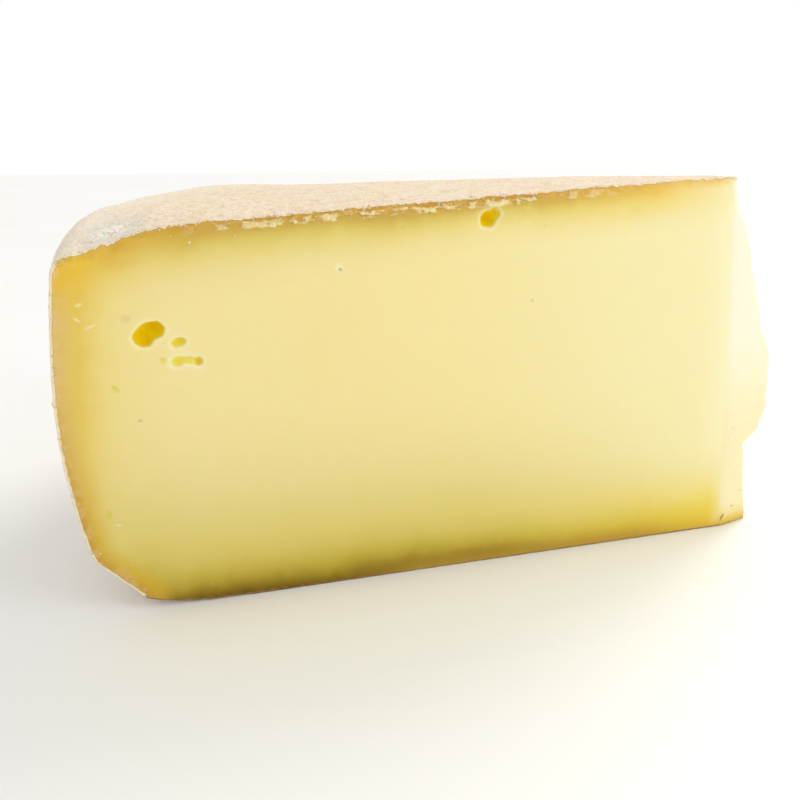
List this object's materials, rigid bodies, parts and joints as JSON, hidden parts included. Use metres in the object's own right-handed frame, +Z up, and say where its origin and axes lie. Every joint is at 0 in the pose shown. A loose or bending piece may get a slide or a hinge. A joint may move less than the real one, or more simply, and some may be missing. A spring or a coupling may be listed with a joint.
{
  "type": "mountain cheese wedge",
  "caption": "Large wedge of pressed mountain cheese with rind on top, rim and base, two knife cuts, small eyes and a broken tip; food to set on a board or a counter.",
  "frame": {"origin": "middle of the wedge's footprint, on the flat base", "axes": "+Z up; the front knife cut faces -Y and runs along X, with the wheel's rim at -X and the broken tip at +X"},
  "size_m": [0.197, 0.1538, 0.1017],
  "materials": {
    "cheese_wedge": "moist cut paste and dry rind"
  },
  "bodies": {
    "root": {"cheese_wedge": "cheese_wedge"}
  },
  "joints": []
}
